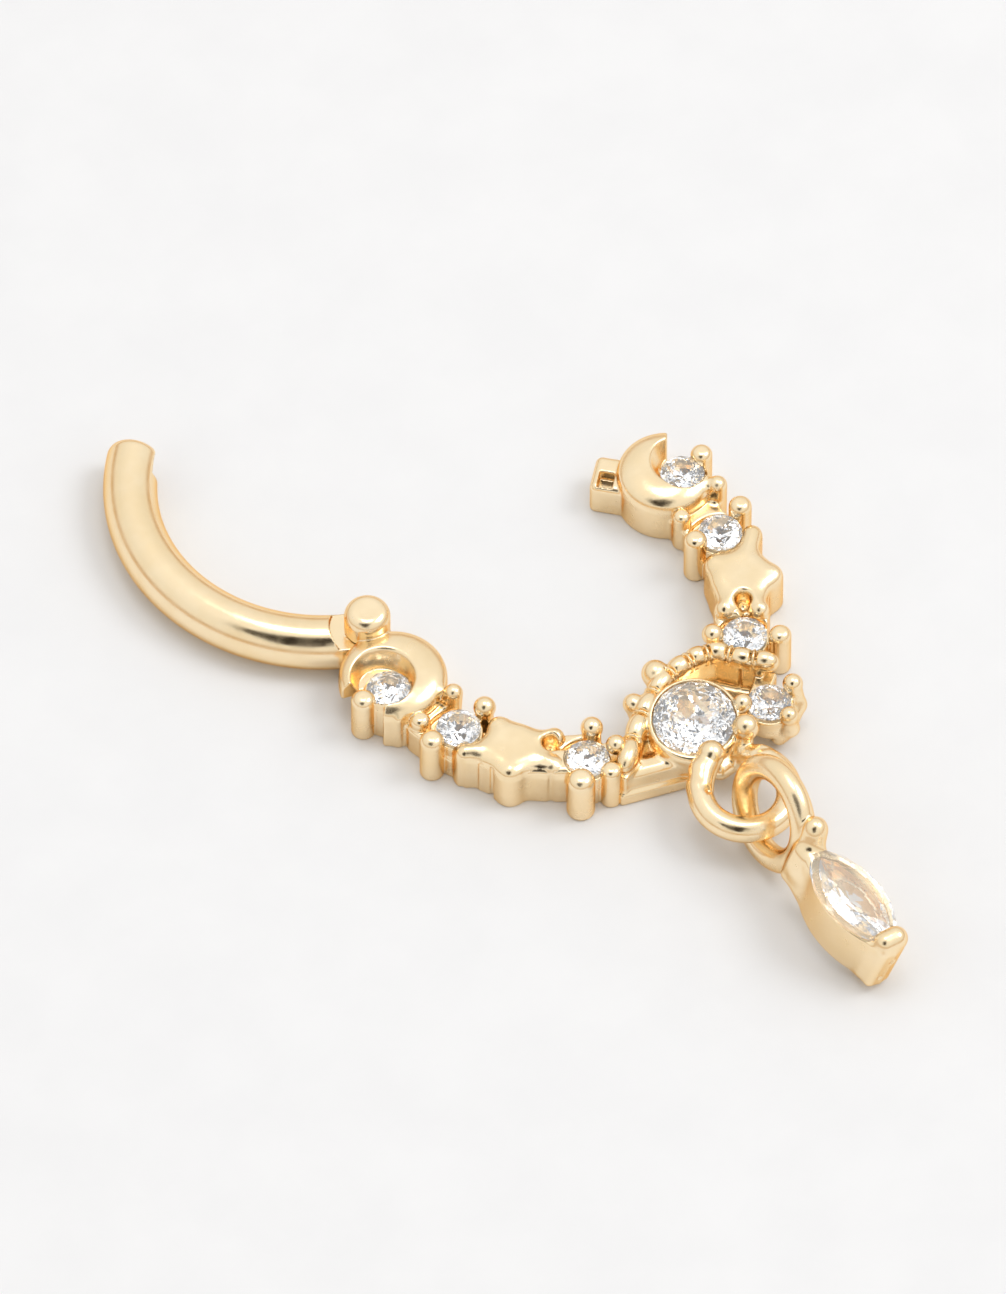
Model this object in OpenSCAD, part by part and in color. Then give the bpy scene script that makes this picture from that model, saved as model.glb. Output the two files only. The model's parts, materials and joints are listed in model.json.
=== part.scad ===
// Clicker ring: a hinged plain bar on a cast half with moons, stars and set stones, and a marquise drop.
// Lies flat as it rests on a table, underside at height 0, pendant towards -Y, hinge on the -X side.

/* [Ring] */
// Diameter of the plain round bar that goes through the piercing, mm
bar_d = 1.6; // [1.5:0.05:1.65]
// Radius from the ring's middle to the middle of the bar, mm
ring_r = 5.65; // [5.6:0.05:5.7]
// How far the bar is swung open from closed, degrees
open_deg = 95; // [0:1:97]

/* [Cast half] */
// Height of the band's side walls, mm
band_h = 1.3; // [1.25:0.05:1.35]
// Height of the crest of the moons, mm
moon_h = 1.72; // [1.65:0.01:1.75]
// Height of the middle of the stars, mm
star_h = 1.62; // [1.55:0.01:1.65]
// Height of the prong tips over the small stones, mm
prong_h = 1.8; // [1.75:0.01:1.85]

/* [Stones] */
// Diameter of the small round stones, mm
small_d = 1.32; // [1.25:0.01:1.35]
// Diameter of the middle stone, mm
centre_d = 2.44; // [2.3:0.02:2.5]
// Length of the marquise stone in the drop, mm
drop_len = 3.7; // [3.6:0.05:3.8]
// Width of the marquise stone in the drop, mm
drop_w = 1.8; // [1.7:0.05:1.85]

/* [Hidden] */
$fn = 48;
eps = 0.02;

// Where the ring's middle sits so that the whole open piece is centred
ring_at = [0.67, 1.38];

// Plain bar
bar_r = bar_d / 2;
mid_h = bar_r;
hinge_a = 146;
hinge_at = ring_r * [cos(hinge_a), sin(hinge_a)];
bar_span = 117.2;
tongue_r = 0.78;
tongue_h = 0.92;
tongue_reach = 1.13;
open_stop = 97.5;
fit = 0.03;
leaf_gap = 0.05;

// Hinge
pin_r = 0.3;
dome_r = 0.68;
dome_base = mid_h + tongue_h / 2 + leaf_gap;
dome_h = 2.36;
ear_h = mid_h - tongue_h / 2 - leaf_gap;

// Catch stub and the undercut of the bar's tip that goes over it
stub_a = 35.4;
stub_r = 5.06;
stub_w = 0.86;
stub_len = 1;
stub_h = 1.16;
undercut_len = 0.95;

// Band
band_in = 4.6;
band_out = 6.28;
band_edge = 0.14;

// Small settings: where the round stones sit on the right half
moon_stone_at = [5.88, 0.94];
upper_stone_at = [5.23, -1.38];
lower_stone_at = [3.23, -4.75];
girdle_h = 1.36;
cup_r = small_d / 2 + 0.08;
cup_h = 1.24;
prong_r = 0.29;
post_r = 0.33;

// Middle
centre_at = [-0.05, -5.92];
centre_girdle_h = 1.4;
centre_cup_r = centre_d / 2 + 0.12;
centre_cup_h = 1.3;
rope_r = 0.37;
rope_h = 1.3;
side_at = [2.06, -6.88];

// Fixed loop at the front
wire_r = 0.39;
loop_r = 1.3;
loop_at = [-0.66, -8.75, 1.36];
loop_tilt = 4;

// Drop: its ring stands upright, its far end rests on the table
eye_r = 1.45;
eye_wire = 0.36;
eye_at = [-0.83, -10.15, 1.87];
eye_turn = -7;
drop_yaw = 5.5;
drop_pitch = 10.2;
drop_roll = 15;
drop_reach = 1.74;
drop_side = -0.36;
cup_depth = 1.75;
cup_wall = 0.1;
tip_wall = 0.3;

gold = [0.93, 0.76, 0.45];
gem = [0.93, 0.95, 1, 0.6];

// Moves everything from the ring's own middle to the middle of the open piece
module place() {
  translate([ring_at[0], ring_at[1], 0]) children();
}

// Draws the child on the side named by s: 1 is the catch side, -1 the hinge side
module on_side(s) {
  mirror([s < 0 ? 1 : 0, 0, 0]) children();
}

// A post with a round top, standing on the ground plane
module post(at, r, h) {
  translate([at[0], at[1], 0]) cylinder(r = r, h = h - r);
  translate([at[0], at[1], h - r]) sphere(r = r);
}

// A leaning prong: a ball on a stalk that comes out of the setting
module prong(foot, tip, r, h) {
  lean = [tip[0] - foot[0], tip[1] - foot[1], h - r - 0.3];
  length = norm(lean);
  translate([foot[0], foot[1], 0.3])
    rotate([0, acos(lean[2] / length), atan2(lean[1], lean[0])])
      cylinder(r = r * 0.8, h = length);
  translate([tip[0], tip[1], h - r]) sphere(r = r);
}

// Round cup of a small stone with its conical seat left out
module cup(at, r, h) {
  translate([at[0], at[1], 0]) cylinder(r = r, h = h);
}

// The conical seat and the light hole under a round stone
module seat(at, d, girdle) {
  depth = d * 0.45;
  hole = d * 0.14;
  translate([at[0], at[1], girdle - depth]) cylinder(r1 = hole, r2 = d / 2 + 0.04, h = depth);
  translate([at[0], at[1], girdle - eps]) cylinder(r = d / 2 + 0.04, h = 1);
  translate([at[0], at[1], -1]) cylinder(r = hole, h = girdle + 0.5);
}

// Band: a flat-bottomed strip round the ring with softened top edges, one side
module band(from, to) {
  rotate([0, 0, from])
    rotate_extrude(angle = to - from, $fn = 96)
      polygon([
        [band_in, 0], [band_out, 0], [band_out, band_h - band_edge],
        [band_out - band_edge, band_h], [band_in + band_edge, band_h],
        [band_in, band_h - band_edge]
      ]);
}

// Crescent moon on the right half: opens outwards by the angle open_a, horns end half_gap from it
moon_r = 1.43;
moon_hole_r = 0.97;
moon_at = [5.62, 1.3];
left_moon_at = [5.34, 1.36];
left_moon_r = 1.54;
moon_shift = 0.42;
moon_floor = 0.8;

module moon_disc(r) {
  rotate_extrude($fn = 64)
    polygon([
      [0, 0], [r, 0], [r, band_h - 0.05], [r - 0.07, band_h + 0.14],
      [r - 0.2, moon_h - 0.12], [r - 0.4, moon_h], [0, moon_h]
    ]);
}

module moon_hole() {
  rotate_extrude($fn = 64)
    polygon([
      [0, moon_floor], [moon_hole_r - 0.06, moon_floor], [moon_hole_r - 0.06, band_h],
      [moon_hole_r + 0.03, moon_h - 0.14], [moon_hole_r + 0.16, moon_h + eps],
      [0, moon_h + eps]
    ]);
}

module moon(at, r, open_a, half_gap) {
  cut = 3;
  translate([at[0], at[1], 0]) difference() {
    moon_disc(r);
    translate([moon_shift * cos(open_a), moon_shift * sin(open_a), 0]) moon_hole();
    translate([0, 0, moon_floor]) linear_extrude(height = 2)
      polygon([
        [0, 0],
        cut * [cos(open_a - half_gap), sin(open_a - half_gap)],
        cut * [cos(open_a), sin(open_a)] * 1.5,
        cut * [cos(open_a + half_gap), sin(open_a + half_gap)]
      ]);
  }
}

// Puffed star on the right half: five arms of its own reach, under a shallow dome
star_at = [4.5, -3.12];
star_arms = [[104, 1.42], [190, 1.34], [252, 1.3], [331, 1.16], [39, 1.62]];
star_waist = 0.86;
star_dome_r = 7;

function star_tip(i, turn) = let(a = star_arms[i][0] + turn) star_arms[i][1] * [cos(a), sin(a)];
function between(i) = let(
    a = star_arms[i][0],
    b = star_arms[(i + 1) % 5][0],
    step = b > a ? b - a : b + 360 - a
  ) a + step / 2;
function star_outline() = [
  for (i = [0:4]) each [
    star_tip(i, -11), star_tip(i, 11),
    star_waist * [cos(between(i)), sin(between(i))]
  ]
];

module star() {
  translate([star_at[0], star_at[1], 0]) intersection() {
    linear_extrude(height = star_h + eps) polygon(star_outline());
    translate([0, 0, star_h - star_dome_r]) sphere(r = star_dome_r, $fn = 96);
  }
}

// All that both sides of the cast half share
module half(moon_pos, r, open_a, half_gap) {
  difference() {
    union() {
      band(-58, 12);
      moon(moon_pos, r, open_a, half_gap);
      star();
      cup(moon_stone_at, cup_r, cup_h);
      cup(upper_stone_at, cup_r, cup_h);
      cup(lower_stone_at, cup_r, cup_h);
      post([6.66, 0.98], post_r, prong_h - 0.1);
      post([6.2, -1.32], post_r, prong_h);
      post([4.33, -1.31], post_r, prong_h);
      post([5.95, -0.42], post_r, 1.5);
      post([4.72, -0.5], 0.3, 1.62);
      prong([2.95, -4.55], [2.48, -4.1], prong_r + 0.02, prong_h + 0.05);
      post([3.9, -5.36], post_r + 0.04, prong_h - 0.05);
      post([2.98, -5.72], post_r, 1.6);
    }
    seat(moon_stone_at, small_d, girdle_h);
    seat(upper_stone_at, small_d, girdle_h);
    seat(lower_stone_at, small_d, girdle_h);
  }
}

// Twisted rope that arches over the middle stone: beads on a wall
rope_path = [
  [-2.42, -5.62], [-1.86, -5.26], [-1.3, -4.9], [-0.72, -4.6], [-0.08, -4.4],
  [0.58, -4.3], [1.22, -4.36], [1.78, -4.6], [2.2, -5.06], [2.56, -5.54]
];

module rope() {
  for (i = [0:len(rope_path) - 1])
    translate([rope_path[i][0], rope_path[i][1], 0]) {
      cylinder(r = rope_r - 0.07, h = rope_h - 0.1);
      translate([0, 0, rope_h - 0.06]) sphere(r = rope_r);
    }
  for (i = [0:len(rope_path) - 2]) {
    step = rope_path[i + 1] - rope_path[i];
    translate([rope_path[i][0], rope_path[i][1], 0])
      rotate([0, 0, atan2(step[1], step[0])])
        translate([0, -0.26, 0]) cube([norm(step), 0.52, rope_h - 0.12]);
  }
}

// Straight wall between two places
module wall(a, b, thick, h) {
  step = b - a;
  translate([a[0], a[1], 0])
    rotate([0, 0, atan2(step[1], step[0])])
      translate([0, -thick / 2, 0]) cube([norm(step), thick, h]);
}

// Middle setting with its rope, the two big front prongs and the side stone's setting
module middle() {
  difference() {
    union() {
      rope();
      translate([centre_at[0], centre_at[1], 0])
        cylinder(r1 = centre_cup_r - 0.16, r2 = centre_cup_r, h = centre_cup_h);
      wall([-3.1, -5.75], [-0.9, -6.85], 0.55, 0.95);
      wall([3.1, -5.75], [1.7, -6.5], 0.6, 1.1);
      prong([-0.55, -6.9], [-0.5, -7.2], 0.36, 2);
      prong([0.75, -6.9], [0.82, -7.2], 0.38, 2);
      prong([0.25, -4.5], [0.2, -3.98], 0.36, 1.78);
      prong([-0.8, -4.75], [-0.88, -4.3], 0.32, 1.5);
      translate([side_at[0], side_at[1], 0.25])
        cylinder(r1 = cup_r - 0.2, r2 = cup_r, h = cup_h - 0.25);
      prong([1.55, -6.65], [1.4, -6.42], 0.24, prong_h - 0.02);
      post_side([3.02, -6.86]);
      post_side([2.12, -7.66]);
    }
    seat(centre_at, centre_d, centre_girdle_h);
    seat(side_at, small_d, girdle_h);
  }
}

// Prong of the side stone that curls up from under its cup
module post_side(tip) {
  prong([side_at[0] + (tip[0] - side_at[0]) * 0.45, side_at[1] + (tip[1] - side_at[1]) * 0.45],
    tip, 0.26, prong_h - 0.05);
}

// Wire loop that the drop hangs from
module loop() {
  translate(loop_at) rotate([loop_tilt, 0, 0])
    rotate_extrude($fn = 64) translate([loop_r, 0]) circle(r = wire_r, $fn = 32);
}

// Hinge: a lower ear and a domed upper ear, joined to the left moon behind them
module hinge_ears() {
  root_a = -110;
  root_w = 0.8;
  root_len = 1.1;
  translate([hinge_at[0], hinge_at[1], 0]) {
    cylinder(r = dome_r, h = ear_h);
    translate([0, 0, dome_base]) cylinder(r = dome_r, h = dome_h - dome_r - dome_base);
    translate([0, 0, dome_h - dome_r]) sphere(r = dome_r);
    rotate([0, 0, root_a]) translate([0, -root_w / 2, 0]) cube([root_len, root_w, band_h + 0.3]);
  }
}

// Room for the bar's tongue between the ears, and the blind bore of the pin
module hinge_room() {
  side = bar_r + 0.06;
  translate([hinge_at[0], hinge_at[1], 0]) {
    translate([0, 0, ear_h]) cylinder(r = tongue_r + 0.08, h = dome_base - ear_h);
    rotate([0, 0, hinge_a - 90 + open_stop]) {
      translate([0, 0, ear_h]) cube([2, side, dome_base - ear_h]);
      difference() {
        translate([0, 0, -eps]) cube([2, side, bar_d + 0.4]);
        translate([0, 0, -1]) cylinder(r = tongue_reach - 0.06, h = 4);
      }
    }
  }
  translate([hinge_at[0], hinge_at[1], -eps]) cylinder(r = pin_r + 0.01, h = 1.75);
}

// Catch stub with the small square recess in its inner side
module stub() {
  rotate([0, 0, stub_a]) translate([stub_r - stub_w / 2, -stub_len - 0.5, 0])
    difference() {
      cube([stub_w, stub_len * 1.5, stub_h]);
      translate([-eps, stub_len * 0.72, 0.42]) cube([0.3, 0.55, 0.46]);
    }
}

module front_frame() color(gold) place() {
  difference() {
    union() {
      on_side(1) half(moon_at, moon_r, 0, 52);
      on_side(-1) half(left_moon_at, left_moon_r, -16, 36);
      middle();
      loop();
      hinge_ears();
      stub();
    }
    hinge_room();
  }
}

// Plain round bar swung open about the hinge
module plain_bar() color(gold) place() {
  tip_a = hinge_a - bar_span;
  translate([hinge_at[0], hinge_at[1], 0]) rotate([0, 0, open_deg])
    translate([-hinge_at[0], -hinge_at[1], 0]) difference() {
      union() {
        rotate([0, 0, tip_a])
          rotate_extrude(angle = bar_span, $fn = 128)
            translate([ring_r, mid_h]) circle(r = bar_r, $fn = 48);
        translate([hinge_at[0], hinge_at[1], mid_h - tongue_h / 2])
          cylinder(r = tongue_r, h = tongue_h);
      }
      tongue_cut(mid_h + tongue_h / 2, 1);
      tongue_cut(mid_h - tongue_h / 2 - 1, 1);
      translate([hinge_at[0], hinge_at[1], -1]) cylinder(r = pin_r + fit, h = 4);
      undercut(tip_a);
    }
}

// Room for an ear above or below the tongue
module tongue_cut(z, h) {
  translate([hinge_at[0], hinge_at[1], z]) cylinder(r = tongue_reach, h = h);
}

// Cut in the bar's tip, open at its end, inner side and underside, that goes over the stub
module undercut(tip_a) {
  rotate([0, 0, tip_a]) translate([0, -0.3, -eps])
    cube([stub_r + stub_w / 2 + 0.08, undercut_len + 0.3, stub_h + 0.08]);
}

module hinge_pin() color(gold) place() {
  translate([hinge_at[0], hinge_at[1], 0.02]) cylinder(r = pin_r, h = 1.7);
}

// Faceted stone from a girdle outline of 16 points: table, crown, girdle and pointed pavilion
function stone_points(o, crown, girdle, pavilion, table) = concat(
  [for (i = [0:2:14]) [o[i][0] * table, o[i][1] * table, crown]],
  [for (p = o) [p[0], p[1], girdle / 2]],
  [for (p = o) [p[0], p[1], -girdle / 2]],
  [[0, 0, -pavilion]]
);
function stone_faces() = concat(
  [[for (i = [7:-1:0]) i]],
  [for (i = [0:7]) [i, (i + 1) % 8, 8 + 2 * i + 1]],
  [for (i = [0:7]) [i, 8 + 2 * i + 1, 8 + 2 * i]],
  [for (i = [0:7]) [i, 8 + 2 * i, 8 + (2 * i + 15) % 16]],
  [for (i = [0:15]) [8 + i, 8 + (i + 1) % 16, 24 + (i + 1) % 16]],
  [for (i = [0:15]) [8 + i, 24 + (i + 1) % 16, 24 + i]],
  [for (i = [0:15]) [24 + i, 24 + (i + 1) % 16, 40]]
);
function circle_outline(r) = [for (i = [0:15]) r * [cos(22.5 * i), sin(22.5 * i)]];
function marquise_outline(half_l, half_w) = [
  for (i = [0:15]) let(a = 22.5 * i)
    [half_l * cos(a), half_w * sign(sin(a)) * pow(abs(sin(a)), 1.35)]
];

module round_stone(at, d, girdle) {
  translate([at[0], at[1], girdle])
    polyhedron(points = stone_points(circle_outline(d / 2), d * 0.17, d * 0.04, d * 0.4, 0.56),
      faces = [for (f = stone_faces()) [for (i = [len(f) - 1:-1:0]) f[i]]]);
}

module small_stone(at, s) {
  color(gem) place() round_stone([s * at[0], at[1]], small_d, girdle_h + 0.03);
}

module moon_stone_left() small_stone(moon_stone_at, -1);
module moon_stone_right() small_stone(moon_stone_at, 1);
module upper_stone_left() small_stone(upper_stone_at, -1);
module upper_stone_right() small_stone(upper_stone_at, 1);
module lower_stone_left() small_stone(lower_stone_at, -1);
module lower_stone_right() small_stone(lower_stone_at, 1);
module side_stone() small_stone(side_at, 1);

module centre_stone() color(gem) place()
  round_stone(centre_at, centre_d, centre_girdle_h + 0.04);

// Carries the drop's own frame to where it lies: origin in its ring, stone towards -Y, face up
module drop_frame() {
  translate(eye_at)
    rotate([0, 0, -drop_yaw]) rotate([drop_pitch, 0, 0]) rotate([0, drop_roll, 0]) children();
}

// Where the stone's middle is in the drop's frame, on the top edge of its setting
stone_y = -(drop_reach + tip_wall + drop_len / 2);
rim_z = cup_depth / 2;

// Marquise outline between two arcs
module marquise(half_l, half_w) {
  arc_r = (half_l * half_l + half_w * half_w) / (2 * half_w);
  intersection_for(s = [-1, 1])
    translate([s * (arc_r - half_w), 0]) circle(r = arc_r, $fn = 120);
}

// Wall of the setting, narrower at its foot
module setting_body() {
  lip = 0.05;
  hull() {
    translate([0, 0, cup_depth - lip]) linear_extrude(height = lip)
      marquise(drop_len / 2 + tip_wall, drop_w / 2 + cup_wall);
    linear_extrude(height = lip) marquise(drop_len / 2 + 0.14, drop_w / 2 - 0.22);
  }
}

// Block over a tip of the stone, as wide at its top and foot as top_w and foot_w say
module tip_block(from, to, top_w, foot_w, top, foot) {
  translate([0, to, 0]) rotate([90, 0, 0])
    linear_extrude(height = to - from)
      polygon([[-foot_w / 2, foot], [foot_w / 2, foot], [top_w / 2, top], [-top_w / 2, top]]);
}

module drop_setting() color(gold) place() drop_frame() {
  near_y = stone_y + drop_len / 2;
  far_y = stone_y - drop_len / 2;
  difference() {
    translate([drop_side, 0, 0]) union() {
      translate([0, stone_y, -rim_z]) setting_body();
      tip_block(near_y - 0.35, near_y + 0.36, 0.84, 0.7, rim_z, -rim_z + 0.1);
      tip_block(near_y - 0.12, near_y + 0.42, 0.74, 0.8, rim_z + 0.34, 0);
      translate([0.1, near_y + 0.16, rim_z + 0.4]) sphere(r = 0.36);
      tip_block(far_y - tip_wall, far_y + 0.32, 1.1, 0.66, rim_z + 0.2, -rim_z + 0.04);
    }
    translate([drop_side, stone_y, rim_z - 0.85]) linear_extrude(height = 1.6)
      marquise(drop_len / 2 - 0.14, drop_w / 2 + 0.03);
    translate([drop_side, stone_y, -rim_z - 0.5]) linear_extrude(height = 2)
      marquise(drop_len / 2 - 0.7, drop_w / 2 - 0.42);
  }
  eye();
}

// Ring of the drop, upright to the stone's face
module eye() {
  rotate([0, 0, eye_turn]) rotate([0, 90, 0])
    rotate_extrude($fn = 64) translate([eye_r, 0]) circle(r = eye_wire, $fn = 32);
}

module drop_stone() color(gem) place() drop_frame() {
  translate([drop_side, stone_y, rim_z]) rotate([0, 0, 90])
    polyhedron(
      points = stone_points(marquise_outline(drop_len / 2 - 0.22, drop_w / 2), 0.24, 0.06, 0.72, 0.58),
      faces = [for (f = stone_faces()) [for (i = [len(f) - 1:-1:0]) f[i]]]);
}

front_frame();
plain_bar();
hinge_pin();
moon_stone_left();
moon_stone_right();
upper_stone_left();
upper_stone_right();
lower_stone_left();
lower_stone_right();
centre_stone();
side_stone();
drop_setting();
drop_stone();
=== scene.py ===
"""Looks of the clicker ring: soft cast gold, faceted stones, pale floor and studio light.

The metal is meshed from distance fields, so that its parts flow into each other like a casting.
Fields are in millimetres in the ring's own frame: origin in the middle of the closed ring, +Z up.
"""
import json
import math

import bpy
import numpy as np
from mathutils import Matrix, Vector

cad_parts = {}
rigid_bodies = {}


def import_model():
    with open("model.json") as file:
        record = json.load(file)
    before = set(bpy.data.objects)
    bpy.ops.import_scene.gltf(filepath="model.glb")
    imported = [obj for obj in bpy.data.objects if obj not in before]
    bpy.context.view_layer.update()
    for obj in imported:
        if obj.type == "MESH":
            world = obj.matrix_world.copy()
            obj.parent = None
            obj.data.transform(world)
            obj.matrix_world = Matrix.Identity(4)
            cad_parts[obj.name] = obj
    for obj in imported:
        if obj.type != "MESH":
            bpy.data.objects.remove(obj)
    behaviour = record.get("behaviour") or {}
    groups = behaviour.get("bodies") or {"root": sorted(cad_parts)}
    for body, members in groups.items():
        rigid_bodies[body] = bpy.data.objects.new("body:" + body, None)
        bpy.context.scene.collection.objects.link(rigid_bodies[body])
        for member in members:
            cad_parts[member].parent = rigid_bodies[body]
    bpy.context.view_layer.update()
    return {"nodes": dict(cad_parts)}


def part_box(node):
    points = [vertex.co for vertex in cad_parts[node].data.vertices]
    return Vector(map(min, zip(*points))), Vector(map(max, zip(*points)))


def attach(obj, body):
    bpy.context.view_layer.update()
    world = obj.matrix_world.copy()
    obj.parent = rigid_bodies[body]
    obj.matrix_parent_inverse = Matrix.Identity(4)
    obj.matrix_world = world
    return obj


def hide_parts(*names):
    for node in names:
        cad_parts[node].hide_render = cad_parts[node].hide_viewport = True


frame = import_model()

MM = 0.001
UP = np.array([0.0, 0.0, 1.0])


def polar(radius, degrees):
    """Place at that radius and angle."""
    turn = math.radians(degrees)
    return np.array([radius * math.cos(turn), radius * math.sin(turn)])


def vec(numbers):
    """Numbers as an array of floats."""
    return np.array(numbers, dtype=float)


def lengths(rows):
    """Length of each row."""
    return np.linalg.norm(rows, axis=1)


def heading(step):
    """Direction of a step in plan, in degrees."""
    return math.degrees(math.atan2(step[1], step[0]))


def turned(axis, degrees):
    """Rotation by degrees about the x, y or z axis, as a 3 by 3 matrix."""
    c, s = polar(1, degrees)
    if axis == "x":
        return np.array([[1, 0, 0], [0, c, -s], [0, s, c]])
    if axis == "y":
        return np.array([[c, 0, s], [0, 1, 0], [-s, 0, c]])
    return np.array([[c, -s, 0], [s, c, 0], [0, 0, 1]])


# Driving sizes, as in the solids: bar's radius, ring's middle radius, and angles in degrees
BAR_R = 0.8
RING_R = 5.65
HINGE_A = 146
BAR_SPAN = 117.2
OPEN_A = 95

# The photo's viewing direction in degrees, and its right and ahead
VIEW_AZIMUTH = -42.8
VIEW_HEIGHT = 53.7
RIGHT = np.append(polar(1, VIEW_AZIMUTH), 0)
AHEAD = np.append(polar(1, VIEW_AZIMUTH + 90), 0)


def node_box(node):
    """Lowest and highest corner of a CAD node in millimetres, in the shared frame."""
    low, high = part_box(node)
    return np.array(low) / MM, np.array(high) / MM


PIN_LOW, PIN_HIGH = node_box("hinge_pin")
HINGE = polar(RING_R, HINGE_A)
RING_AT = np.append((PIN_LOW + PIN_HIGH)[:2] / 2 - HINGE, 0.0)

# Height of a round stone's girdle over its point, as a share of its width
GIRDLE_SHARE = 0.42
# Small shifts that bring two stones under the photo's
NUDGES = {"moon_stone_left": (0.09, 0.1), "lower_stone_right": (-0.03, 0.14)}


def stone_seat(node):
    """Middle of a round stone in the ring's frame, its diameter and the height of its girdle."""
    low, high = node_box(node)
    middle = (low + high) / 2 - RING_AT
    width = high[0] - low[0]
    return middle[:2] + NUDGES.get(node, 0), width, low[2] + GIRDLE_SHARE * width


# Where the round stones sit
SEATS = {node: stone_seat(node) for node in frame["nodes"] if node.endswith(("_left", "_right"))}
CENTRE = stone_seat("centre_stone")
SIDE = stone_seat("side_stone")


# Distance fields
def smooth_min(a, b, soft):
    """Union with a fillet about as wide as soft."""
    h = np.maximum(soft - np.abs(a - b), 0.0) / soft
    return np.minimum(a, b) - h * h * soft * 0.25


def smooth_max(a, b, soft):
    """What two fields have in common, with an edge rounded by about soft."""
    return -smooth_min(-a, -b, soft)


def turned_xy(p, c, s):
    """X and Y of points in axes turned by an angle, from its cosine and sine."""
    return p[:, 0] * c + p[:, 1] * s, p[:, 1] * c - p[:, 0] * s


def corner_distance(dx, dy, edge):
    """Distance to a corner between two faces that are dx and dy away, rounded by edge."""
    ox = dx + edge
    oy = dy + edge
    outside = np.hypot(np.maximum(ox, 0), np.maximum(oy, 0))
    return np.minimum(np.maximum(ox, oy), 0) + outside - edge


class Shape:
    """One field with the box that holds its surface."""

    def __init__(self, field, low, high):
        self.field = field
        self.low = vec(low)
        self.high = vec(high)


def upright(field, at, reach, z0, z1):
    """Shape within reach of at in plan, one reach or one for X and one for Y, between two heights."""
    at, reach = vec(at), vec(reach)
    return Shape(field, [*(at - reach), z0], [*(at + reach), z1])


# The cast metal starts below the table, and at the end all that is below it is cut off
GROUND = -0.2
BELOW = Shape(lambda p: p[:, 2], [-99, -99, -99], [99, 99, 0])
# Rounding of a wall's edges and of a sharp cutter's, and the usual fillet between two shapes
WALL_EDGE = 0.08
SHARP = 0.005
SEAM = 0.05


def ball(at, radius):
    """Sphere."""
    at = vec(at)
    return Shape(lambda p: lengths(p - at) - radius, at - radius, at + radius)


def egg(at, half, turn):
    """Ellipsoid with half axes half, turned by turn degrees about +Z."""
    at = vec(at)
    half = vec(half)
    c, s = polar(1, turn)

    def field(p):
        q = p - at
        q = np.stack([*turned_xy(q, c, s), q[:, 2]], axis=1)
        k0 = lengths(q / half)
        k1 = lengths(q / half**2)
        return k0 * (k0 - 1) / np.maximum(k1, 1e-6)

    return Shape(field, at - half.max(), at + half.max())


def rod(a, b, r_a, r_b=None):
    """Round-ended rod from a to b, with its own radius at each end."""
    a, b = vec(a), vec(b)
    r_b = r_a if r_b is None else r_b
    along = b - a
    length2 = along @ along

    def field(p):
        t = np.clip((p - a) @ along / length2, 0, 1)
        near = a + t[:, None] * along
        return lengths(p - near) - (r_a + (r_b - r_a) * t)

    big = max(r_a, r_b)
    return Shape(field, np.minimum(a, b) - big, np.maximum(a, b) + big)


def drum(at, radius, z0, z1, edge, foot_radius=None):
    """Upright round block, or a cone with another radius at its foot, with rounded rims."""
    foot_radius = radius if foot_radius is None else foot_radius
    slope = (radius - foot_radius) / (z1 - z0)
    lean = math.hypot(1, slope)
    big = max(radius, foot_radius)

    def field(p):
        rho = np.hypot(p[:, 0] - at[0], p[:, 1] - at[1])
        side = (rho - (foot_radius + slope * (p[:, 2] - z0))) / lean
        return corner_distance(side, np.maximum(z0 - p[:, 2], p[:, 2] - z1), edge)

    return upright(field, at, big, z0, z1)


def block(at, turn, size, z0, z1, edge):
    """Upright box with its middle at at, turned about +Z, with rounded edges all round."""
    c, s = polar(1, turn)
    hx, hy = size[0] / 2, size[1] / 2
    reach = math.hypot(hx, hy)

    def field(p):
        x, y = turned_xy(p[:, :2] - at, c, s)
        side = corner_distance(np.abs(x) - hx, np.abs(y) - hy, edge)
        return corner_distance(side, np.maximum(z0 - p[:, 2], p[:, 2] - z1), edge)

    return upright(field, at, reach, z0, z1)


def wall(a, b, thick, z1, edge=WALL_EDGE):
    """Straight wall from the ground up to z1, between two places in plan."""
    a, b = vec(a), vec(b)
    step = b - a
    return block((a + b) / 2, heading(step), (np.linalg.norm(step), thick), GROUND, z1, edge)


def ring_tube(at, axis, radius, wire):
    """Closed round ring of round wire about an axis."""
    at = vec(at)
    axis = vec(axis)
    axis = axis / np.linalg.norm(axis)

    def field(p):
        q = p - at
        h = q @ axis
        rho = lengths(q - h[:, None] * axis)
        return np.hypot(rho - radius, h) - wire

    reach = radius + wire
    return Shape(field, at - reach, at + reach)


def arc_tube(radius, wire, z, from_a, to_a, edge):
    """Round bar bent to a flat arc round the ring's middle, with rounded flat ends."""
    half = math.radians(abs(to_a - from_a) / 2)
    c, s = polar(1, (from_a + to_a) / 2)

    def field(p):
        x, y = turned_xy(p, c, s)
        tube = np.hypot(np.hypot(x, y) - radius, p[:, 2] - z) - wire
        past = (np.abs(np.arctan2(y, x)) - half) * radius
        return corner_distance(tube, past, edge)

    return upright(field, (0, 0), radius + wire, z - wire, z + wire)


def band(inner, outer, z1, from_a, to_a, edge):
    """Strip round the ring between two radii and two angles."""
    half = math.radians(abs(to_a - from_a) / 2)
    c, s = polar(1, (from_a + to_a) / 2)
    mid_r = (inner + outer) / 2

    def field(p):
        x, y = turned_xy(p, c, s)
        past = (np.abs(np.arctan2(y, x)) - half) * mid_r
        side = np.maximum(np.abs(np.hypot(x, y) - mid_r) - (outer - inner) / 2, past)
        return corner_distance(side, p[:, 2] - z1, edge)

    return upright(field, (0, 0), outer, GROUND, z1)


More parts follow.
